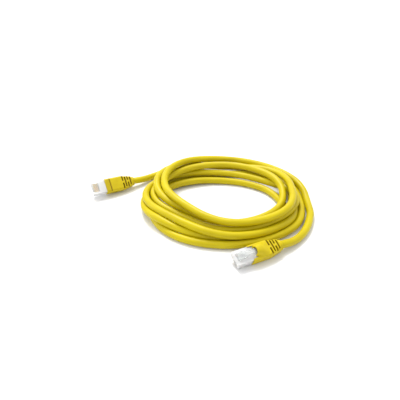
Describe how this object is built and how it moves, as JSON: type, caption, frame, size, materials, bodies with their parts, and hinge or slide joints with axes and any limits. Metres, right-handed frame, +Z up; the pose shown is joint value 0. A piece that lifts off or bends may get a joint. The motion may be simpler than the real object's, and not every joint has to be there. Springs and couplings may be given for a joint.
{
  "type": "ethernet patch cable",
  "caption": "Coiled patch cable with a clear modular plug in a moulded snagless boot on each end.",
  "frame": {"origin": "centre of the whole cable's outline on the surface it lies on", "axes": "+Z up from that surface; +X along the longest extent, from the loose plug towards the coil; +Y towards the far side of the coil"},
  "size_m": [0.2052, 0.1576, 0.023],
  "materials": {
    "jacket": "soft yellow PVC, satin",
    "boot": "soft moulded yellow PVC, satin",
    "clear_housing": "clear polycarbonate, moulded",
    "load_bar": "translucent polycarbonate",
    "gold_contact": "gold-plated phosphor bronze",
    "wire_white_orange": "polyethylene insulation",
    "wire_orange": "polyethylene insulation",
    "wire_white_green": "polyethylene insulation",
    "wire_blue": "polyethylene insulation",
    "wire_white_blue": "polyethylene insulation",
    "wire_green": "polyethylene insulation",
    "wire_white_brown": "polyethylene insulation",
    "wire_brown": "polyethylene insulation"
  },
  "bodies": {
    "cable": {"plug_a_housing": "clear_housing", "plug_a_load_bar": "load_bar", "plug_a_boot": "boot", "plug_a_jacket_end": "jacket", "plug_a_contact_1": "gold_contact", "plug_a_contact_2": "gold_contact", "plug_a_contact_3": "gold_contact", "plug_a_contact_4": "gold_contact", "plug_a_contact_5": "gold_contact", "plug_a_contact_6": "gold_contact", "plug_a_contact_7": "gold_contact", "plug_a_contact_8": "gold_contact", "plug_a_wire_1": "wire_white_orange", "plug_a_wire_2": "wire_orange", "plug_a_wire_3": "wire_white_green", "plug_a_wire_4": "wire_blue", "plug_a_wire_5": "wire_white_blue", "plug_a_wire_6": "wire_green", "plug_a_wire_7": "wire_white_brown", "plug_a_wire_8": "wire_brown", "plug_b_housing": "clear_housing", "plug_b_load_bar": "load_bar", "plug_b_boot": "boot", "plug_b_jacket_end": "jacket", "plug_b_contact_1": "gold_contact", "plug_b_contact_2": "gold_contact", "plug_b_contact_3": "gold_contact", "plug_b_contact_4": "gold_contact", "plug_b_contact_5": "gold_contact", "plug_b_contact_6": "gold_contact", "plug_b_contact_7": "gold_contact", "plug_b_contact_8": "gold_contact", "plug_b_wire_1": "wire_white_orange", "plug_b_wire_2": "wire_orange", "plug_b_wire_3": "wire_white_green", "plug_b_wire_4": "wire_blue", "plug_b_wire_5": "wire_white_blue", "plug_b_wire_6": "wire_green", "plug_b_wire_7": "wire_white_brown", "plug_b_wire_8": "wire_brown", "jacket_tail_a": "jacket", "jacket_tail_b": "jacket", "cable_coil": "jacket"},
    "latch_a": {"plug_a_latch": "clear_housing"},
    "latch_b": {"plug_b_latch": "clear_housing"}
  },
  "joints": [
    {"name": "latch_a_flex", "type": "hinge", "parent": "cable", "child": "latch_a", "pos_m": [-0.10006, 0.01936, 0.00624], "axis": [0.3253, -0.6698, -0.6675], "range_deg": [0, 9], "stiffness_Nm_per_rad": 0.2},
    {"name": "latch_b_flex", "type": "hinge", "parent": "cable", "child": "latch_b", "pos_m": [0.02685, -0.07368, 0.00948], "axis": [-0.3956, 0.8523, 0.342], "range_deg": [0, 9], "stiffness_Nm_per_rad": 0.2}
  ]
}
